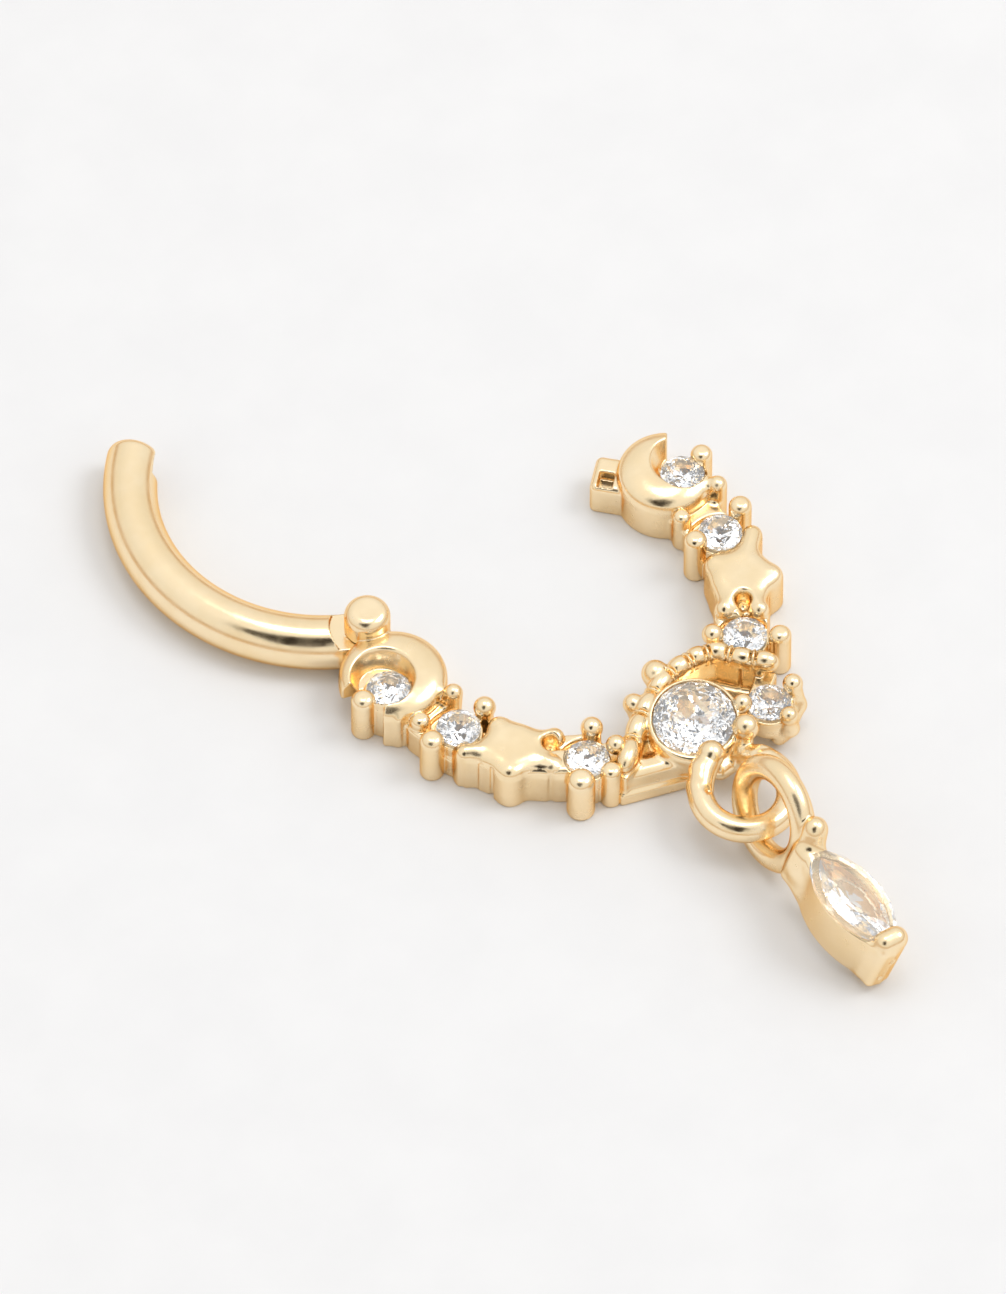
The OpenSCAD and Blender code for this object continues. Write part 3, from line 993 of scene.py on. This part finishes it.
def rope(form):
    """Twisted rope on a wall: oval beads with two thin rings between each pair."""
    path = np.array(ROPE)
    last = len(path) - 1
    for a, b in zip(path[:-1], path[1:]):
        form.add(wall(a, b, ROPE_WALL, ROPE_WALL_TOP))
        form.add(rod((*a, CORE_Z), (*b, CORE_Z), CORE_R))
    for i, at in enumerate(path):
        before, after = max(i - 1, 0), min(i + 1, last)
        step = path[after] - path[before]
        reach = np.linalg.norm(step) / (after - before) / 2
        along = heading(step)
        form.add(egg((*at, ROPE_Z), (reach + BEAD_OVERLAP, ROPE_R, ROPE_R + 0.03), along), soft=0.04)
    for a, b in zip(path[:-1], path[1:]):
        step = (b - a) / np.linalg.norm(b - a)
        along = heading(step)
        form.add(egg((*((a + b) / 2), ROPE_Z), RING_HALF, along), soft=0.03)
        for side in (-RING_OFF, RING_OFF):
            form.cut(egg((*((a + b) / 2 + side * step), GROOVE_Z), GROOVE_HALF, along), soft=0.06)


# Middle stone: lean in degrees and lift; floors beside its cup: middle, radius, top and seam
CENTRE_LEAN, CENTRE_LIFT = 9, 0.12
MIDDLE_FLOORS = [((1.3, -5.3), 1.3, 0.28, 0.25), ((-0.9, -5.3), 0.85, 0.9, 0.2)]
MIDDLE_CUP_TOP, MIDDLE_CUP_RIM, MIDDLE_CUP_TAPER = 1.3, 0.18, 0.05
BEZEL_OUT, BEZEL_WIRE = 0.03, 0.13
SIDE_CUP_TOP, SIDE_CUP_FOOT = 1.26, 0.7
SIDE_BULB_HALF, SIDE_BULB_Z = (0.66, 0.6, 0.55), 0.75
# Prongs of the middle: foot, tip, the ball's radius and the height of its top
MIDDLE_PRONGS = [((0.36, -4.3), (0.37, -3.8), 0.41, 1.72), ((-0.78, -4.6), (-0.84, -4.16), 0.31, 1.6),
                 ((1.15, -6.25), (1.36, -6.48), 0.28, 1.9)]


def middle_setting():
    """Middle of the cast half: rope, both cups, strut, prongs and the loop for the drop."""
    form = Form()
    at, width, girdle = CENTRE
    rope(form)
    for middle, r, top, soft in MIDDLE_FLOORS:
        form.add(drum(middle, r, GROUND, top, 0.1), soft)
    foot_r = width / 2 - MIDDLE_CUP_TAPER
    form.add(drum(at, width / 2 + MIDDLE_CUP_RIM, GROUND, MIDDLE_CUP_TOP, 0.12, foot_r), soft=0.1)
    axis = turned("z", VIEW_AZIMUTH) @ turned("x", CENTRE_LEAN) @ UP
    form.add(ring_tube((*at, girdle), axis, width / 2 + BEZEL_OUT, BEZEL_WIRE), soft=0.08)
    strut(form)
    x, y = SIDE[0]
    form.add(egg((x + 0.05, y - 0.15, SIDE_BULB_Z), SIDE_BULB_HALF, 0), soft=0.15)
    cup(form, SIDE, SIDE_CUP_TOP, foot=SIDE_CUP_FOOT, rim=CUP_RIM)
    bore(form, CENTRE)
    bore(form, SIDE)
    for foot, tip, r, h in MIDDLE_PRONGS:
        prong(form, foot, tip, r, h, stalk=0.9, soft=0.12)
    side_arms(form)
    hook(form)
    form.cut(BELOW, soft=0.06)
    return form


# Walls of the strut: both ends, thickness, top, edge and seam
STRUT_WALLS = [((-2.92, -5.76), (-0.95, -6.66), 0.4, 0.44, 0.1, 0.05),
               ((-2.72, -5.52), (-0.95, -6.34), 0.68, 1.1, 0.26, 0.2),
               ((-2.85, -5.7), (-2.1, -5.6), 0.5, 1.15, 0.08, 0.08),
               ((3.05, -5.75), (1.75, -6.5), 0.6, 0.95, 0.08, 0.08)]


def strut(form):
    """Low beam from the ring's wall to the loop, with the wall of the middle cup behind it."""
    for a, b, thick, top, edge, soft in STRUT_WALLS:
        form.add(wall(a, b, thick, top, edge), soft)


def joins(form, rods):
    """Rods, each with its two ends, its radius at each and its seam."""
    for a, b, r_a, r_b, soft in rods:
        form.add(rod(a, b, r_a, r_b), soft)


def side_arms(form):
    """Basket under the side stone: two arms that curl up from its foot, with a ball on each."""
    x, y = SIDE[0]
    right_foot, near_foot = (x + 0.2, y - 0.5, 0.34), (x - 0.1, y - 0.55, 0.34)
    right_bend, near_bend = (x + 0.86, y - 0.3, 0.8), (x + 0.08, y - 0.84, 0.9)
    right, near = (x + 0.92, y - 0.02, 1.5), (x + 0.05, y - 0.8, 1.5)
    joins(form, [(right_foot, right_bend, 0.26, 0.26, 0.14), (right_bend, right, 0.25, 0.25, 0.12),
                 (near_foot, near_bend, 0.24, 0.24, 0.12), (near_bend, near, 0.24, 0.24, 0.12)])
    form.add(ball(right, 0.3))
    form.add(ball(near, 0.28))


# Loop for the drop, its open ends with their balls, and the rods that join them to the setting
LOOP_AT = np.array([-0.66, -8.75, 1.36])
LOOP_R, LOOP_WIRE, LOOP_TILT = 1.3, 0.39, 4
LOOP_OPEN_FROM, LOOP_OPEN_AT, LOOP_OPEN_HALF = 0.6, 0.2, 1.15
LEFT_END, LEFT_END_R = (-0.6, -7.24, 1.68), 0.41
RIGHT_END, RIGHT_END_R = (0.8, -7.22, 1.7), 0.4
LEFT_JOINS = [((-1.5, -7.75, 1.42), (-1.12, -7.42, 1.5), 0.39, 0.39, 0.16),
              ((-1.12, -7.42, 1.5), (-0.7, -7.3, 1.62), 0.39, 0.36, 0.14)]
RIGHT_JOINS = [((-0.3, -7.3, 0.75), (0.55, -7.35, 0.75), 0.34, 0.34, 0.12),
               ((0.3, -7.5, 0.8), (0.72, -7.3, 1.5), 0.3, 0.26, 0.12),
               ((0.35, -7.5, 0.9), (0.5, -8.1, 1.3), 0.36, 0.39, 0.14)]


def hook(form):
    """Open loop for the drop: its left end comes up as the front prong of the middle stone."""
    c, s = polar(1, LOOP_TILT)

    def arc(p):
        q = p - LOOP_AT
        x = q[:, 0]
        y, z = turned_xy(q[:, 1:], c, s)
        ring = np.hypot(np.hypot(x, y) - LOOP_R, z) - LOOP_WIRE
        missing = np.minimum(y - LOOP_OPEN_FROM, LOOP_OPEN_HALF - np.abs(x - LOOP_OPEN_AT))
        return smooth_max(ring, missing, 0.2)

    reach = LOOP_R + LOOP_WIRE
    form.add(Shape(arc, LOOP_AT - reach, LOOP_AT + reach), soft=0.1)
    joins(form, LEFT_JOINS)
    form.add(ball(LEFT_END, LEFT_END_R), soft=0.04)
    joins(form, RIGHT_JOINS)
    form.add(ball(RIGHT_END, RIGHT_END_R), soft=0.04)


# Bar: rim of its ends, its thin end in the hinge, the pin's hole, and the undercut of its tip
BAR_EDGE = 0.3
THIN_REACH, THIN_TOP, THIN_FOOT = 1.13, 1.26, 0.34
TONGUE_TOP, TONGUE_FOOT = 1.25, 0.35
PIN_HOLE_R = 0.33
UNDER_BAR, OVER_BAR = -1.0, 3.0
UNDERCUT_OUT, UNDERCUT_LONG, UNDERCUT_TOP, UNDERCUT_IN = 5.86, 1.26, 1.24, 0.32


def bar_form():
    """Plain bar as it lies closed."""
    form = Form()
    tip = HINGE_A - BAR_SPAN
    form.add(arc_tube(RING_R, BAR_R, BAR_R, tip, HINGE_A, BAR_EDGE), soft=0.02)
    form.cut(drum(HINGE, THIN_REACH, THIN_TOP, OVER_BAR, 0.02), soft=0.03)
    form.cut(drum(HINGE, THIN_REACH, UNDER_BAR, THIN_FOOT, 0.02), soft=0.03)
    form.add(drum(HINGE, EAR_R, TONGUE_FOOT, TONGUE_TOP, 0.01), soft=0.04)
    form.cut(drum(HINGE, PIN_HOLE_R, UNDER_BAR, OVER_BAR, 0.02), soft=0.02)
    way = polar(1, tip)
    left = np.array([-way[1], way[0]])
    middle = way * UNDERCUT_OUT / 2 + left * UNDERCUT_IN
    form.cut(block(middle, tip, (UNDERCUT_OUT, UNDERCUT_LONG), 2 * GROUND, UNDERCUT_TOP, 0.03), soft=0.04)
    return form


# Drop: where its ring's middle lies and how it is turned; its stone's side, distance and half sizes
DROP_AT = np.array([-0.83, -10.15, 1.87])
DROP_YAW, DROP_PITCH, DROP_ROLL = 5.5, 10.2, 15
DROP_TURN = turned("z", -DROP_YAW) @ turned("x", DROP_PITCH) @ turned("y", DROP_ROLL)
DROP_SIDE = -0.36
STONE_Y = -3.89
RIM_Z = 0.875
DROP_HALF = (1.84, 1.05)
DROP_NEAR, DROP_FAR = STONE_Y + 1.85, STONE_Y - 1.8
# Outer wall, seat and window as half length and half width at the top and at the foot
SHELL_TOP, SHELL_FOOT = (1.98, 0.97), (1.9, 0.7)
SEAT_TOP, SEAT_FOOT = (1.76, 0.94), (1.5, 0.55)
WINDOW = (1.15, 0.48)
# Blocks at the setting's two ends, prongs on them, and the drop's ring
NEAR_BLOCK, FAR_BLOCK = (0.8, 1.0), (0.9, 0.72)
NEAR_PRONG_R, NEAR_TIP_R, NEAR_BALL_R, FAR_PRONG_R = 0.5, 0.38, 0.37, 0.36
DROP_RING_R, DROP_RING_WIRE, DROP_RING_YAW = 1.425, 0.38, -7


def boat(at, top, foot, z0, z1, edge):
    """Marquise block along Y between two heights, top and foot are its half length and half width."""
    def field(p):
        t = np.clip((p[:, 2] - z0) / (z1 - z0), 0, 1)
        half_l = foot[0] + (top[0] - foot[0]) * t
        half_w = foot[1] + (top[1] - foot[1]) * t
        arc = (half_l**2 + half_w**2) / (2 * half_w)
        x, y = np.abs(p[:, 0] - at[0]), p[:, 1] - at[1]
        side = np.hypot(x + arc - half_w, y) - arc
        return corner_distance(side, np.maximum(z0 - p[:, 2], p[:, 2] - z1), edge)

    return upright(field, at, top[::-1], z0, z1)


def drop_form():
    """Marquise setting in the frame of its ring: stone towards -Y, face up."""
    form = Form()
    x, near, far = DROP_SIDE, DROP_NEAR, DROP_FAR
    form.add(boat((x, STONE_Y), SHELL_TOP, SHELL_FOOT, -RIM_Z, RIM_Z - 0.1, 0.05))
    form.add(block((x - 0.02, near + 0.1), 0, NEAR_BLOCK, -RIM_Z + 0.1, RIM_Z - 0.05, 0.25), soft=0.4)
    near_tip = (x + 0.24, near + 0.5, RIM_Z + 0.26)
    form.add(rod((x, near + 0.1, 0), near_tip, NEAR_PRONG_R, NEAR_TIP_R), soft=0.2)
    form.add(ball((x + 0.26, near + 0.54, RIM_Z + 0.34), NEAR_BALL_R))
    form.add(block((x - 0.02, far + 0.1), 0, FAR_BLOCK, -RIM_Z + 0.06, RIM_Z + 0.02, 0.2), soft=0.3)
    form.cut(boat((x, STONE_Y), SEAT_TOP, SEAT_FOOT, RIM_Z - 0.8, RIM_Z + 1, 0.01), soft=0.03)
    form.cut(boat((x, STONE_Y), WINDOW, WINDOW, -RIM_Z - 0.5, RIM_Z, 0.01), soft=0.03)
    far_tip = (x + 0.2, far + 0.1, RIM_Z + 0.1)
    form.add(rod((x - 0.12, far + 0.14, RIM_Z), far_tip, FAR_PRONG_R), soft=0.12)
    for at, r in (((x + 0.05, far - 0.3, 0.35), 0.12), ((x - 0.15, far - 0.26, -0.35), 0.07)):
        form.cut(ball(at, r))
    axis = turned("z", DROP_RING_YAW) @ np.array([1.0, 0.0, 0.0])
    form.add(ring_tube((0, 0, 0), axis, DROP_RING_R, DROP_RING_WIRE), soft=0.1)
    return form


def marquise_outline(a):
    """Point of the stone's girdle along Y at that angle."""
    half_l, half_w = DROP_HALF
    s, c = math.sin(math.radians(a)), math.cos(math.radians(a))
    return np.array([math.copysign(half_w * abs(s) ** 1.35, -s), half_l * c])


def swing(points, normals):
    """Turns the closed bar open about the hinge."""
    at = np.append(HINGE, 0)
    m = turned("z", OPEN_A)
    return (points - at) @ m.T + at, normals @ m.T


def hang(points, normals):
    """Puts the drop where it lies."""
    return points @ DROP_TURN.T + DROP_AT, normals @ DROP_TURN.T


cast("cast_right", cast_right(), CAST_GOLD, replaces="front_frame")
cast("cast_left", cast_left(), CAST_GOLD)
cast("middle_setting", middle_setting(), CAST_GOLD)
cast("bar_body", bar_form(), BAR_GOLD, body="bar", replaces="plain_bar", move=swing)
cast("drop_body", drop_form(), CAST_GOLD, replaces="drop_setting", move=hang)

for i, (name, seat) in enumerate(sorted(SEATS.items())):
    round_stone(name, seat, 17 * i)
round_stone("centre_stone", CENTRE, 8, lean=CENTRE_LEAN, lift=CENTRE_LIFT)
round_stone("side_stone", SIDE, 31)
DROP_STONE_AT = DROP_TURN @ np.array([DROP_SIDE, STONE_Y + 0.08, RIM_Z + 0.04]) + DROP_AT
stone("drop_stone", marquise_outline, (0.56, 0.24, 0.06, 0.72), DROP_TURN, DROP_STONE_AT, LONG_GEM)

for part in bpy.data.objects:
    if part.type == "MESH" and part.name == "hinge_pin":
        part.data.materials.clear()
        part.data.materials.append(BAR_GOLD)

# Studio. The camera is far away with a long lens, at the photo's scale.
PIXELS_PER_MM = 34.1
IMAGE_HIGH = 1294
SENSOR = 36.0
LENS = 800.0
NEAR_CLIP, FAR_CLIP = 0.01, 50.0
LOOK_AT = np.array([-1.319, 1.595, 0.8])
# Floor: half its width and its height, in metres, just under the part
FLOOR_HALF, FLOOR_Z = 3.0, -0.00001
# Light of the tent from the horizon up: height as a sine, and colour
WORLD_LEVEL = 1.03
TENT = [(0.0, (0.75, 0.6, 0.45)), (0.16, (0.6, 0.46, 0.34)), (0.3, (0.86, 0.84, 0.8)),
        (0.55, (0.86, 0.86, 0.85)), (1.0, (1, 1, 1))]
# Dark parts of the tent, where the camera and its stand are: side and height in degrees
GAPS = [(-6, 60), (-12, 44), (-26, 54)]
GAP_COLOUR = (0.03, 0.025, 0.02)
# Cosine from a gap's middle at which it begins and at which it is full
GAP_BEGINS, GAP_FULL = 0.968, 0.98
# Lights: direction from the part, distance and size in metres, power in watts, colour
KEY_LIGHT = (RIGHT * 0.95 + AHEAD * 0.12 + UP * 1.25, 0.5, 0.24, 0.6, (0.97, 0.985, 1.0))
TOP_LIGHT = (AHEAD * 0.15 + UP, 0.5, 0.2, 0.25, (1, 1, 1))


def sky(side, height):
    """Direction seen from the part: side degrees to the right of the viewer, height degrees up."""
    flat, up = polar(1, height)
    near, right = polar(1, side)
    return (RIGHT * right - AHEAD * near) * flat + UP * up


def add_camera():
    """Camera at the photo's angle, with the photo's scale at the part."""
    data = bpy.data.cameras.new("camera")
    data.sensor_width = SENSOR
    data.lens = LENS
    data.clip_start = NEAR_CLIP
    data.clip_end = FAR_CLIP
    made = put("camera", data)
    away = IMAGE_HIGH * LENS / (SENSOR * PIXELS_PER_MM)
    back = sky(0, VIEW_HEIGHT)
    made.location = Vector((LOOK_AT + back * away) * MM)
    made.rotation_euler = Vector(back).to_track_quat("Z", "Y").to_euler()
    bpy.context.scene.camera = made


def add_light(name, towards, distance, size, power, color):
    """Round soft light that looks at the part from a direction."""
    data = bpy.data.lights.new(name, "AREA")
    data.shape = "DISK"
    data.size = size
    data.energy = power
    data.color = color
    made = put(name, data)
    way = Vector(towards).normalized()
    made.location = way * distance
    made.rotation_euler = way.to_track_quat("Z", "Y").to_euler()


def add_floor():
    """White board under the part."""
    mesh = bpy.data.meshes.new("floor")
    corners = [(x * FLOOR_HALF, y * FLOOR_HALF, FLOOR_Z) for x, y in ((-1, -1), (1, -1), (1, 1), (-1, 1))]
    mesh.from_pydata(corners, [], [(0, 1, 2, 3)])
    mesh.materials.append(floor_material())
    made = put("floor", mesh)


def add_world():
    """White tent with a warm low rim and dark gaps where the camera and its stand are."""
    world = bpy.data.worlds.new("studio")
    world.use_nodes = True
    tree = world.node_tree
    tree.nodes.clear()
    out = shader_node(tree, "OutputWorld")
    back = shader_node(tree, "Background")
    place = shader_node(tree, "TexCoord")
    mix = shader_node(tree, "Mix")
    mix.data_type = "RGBA"
    mix.inputs["B"].default_value = (*GAP_COLOUR, 1)
    tree.links.new(dark_gaps(tree, place.outputs["Generated"]), mix.inputs["Factor"])
    tree.links.new(tent_colour(tree, place.outputs["Generated"]), mix.inputs["A"])
    tree.links.new(mix.outputs["Result"], back.inputs[0])
    tree.links.new(back.outputs[0], out.inputs[0])
    back.inputs[1].default_value = WORLD_LEVEL
    bpy.context.scene.world = world


def tent_colour(tree, direction):
    """Colour of the tent by the height of a direction."""
    split = shader_node(tree, "SeparateXYZ")
    ramp = shader_node(tree, "ValToRGB")
    tree.links.new(direction, split.inputs[0])
    tree.links.new(split.outputs["Z"], ramp.inputs[0])
    keys = ramp.color_ramp.elements
    while len(keys) < len(TENT):
        keys.new(0.5)
    for key, (position, colour) in zip(keys, TENT):
        key.position = position
        key.color = (*colour, 1)
    return ramp.outputs[0]


def dark_gaps(tree, direction):
    """One inside any of the dark cones, nought elsewhere."""
    edge = shader_node(tree, "MapRange")
    edge.inputs["From Min"].default_value = GAP_BEGINS
    edge.inputs["From Max"].default_value = GAP_FULL
    cosine = edge.inputs["Value"]
    for side, height in GAPS:
        dot = vector_math(tree, "DOT_PRODUCT")
        dot.inputs[1].default_value = tuple(sky(side, height))
        tree.links.new(direction, dot.inputs[0])
        larger = shader_node(tree, "Math")
        larger.operation = "MAXIMUM"
        larger.inputs[1].default_value = 0
        tree.links.new(dot.outputs["Value"], larger.inputs[0])
        tree.links.new(larger.outputs[0], cosine)
        cosine = larger.inputs[1]
    return edge.outputs["Result"]


add_camera()
add_floor()
add_world()
add_light("key", *KEY_LIGHT)
add_light("top", *TOP_LIGHT)
bpy.context.scene.view_settings.view_transform = "Standard"
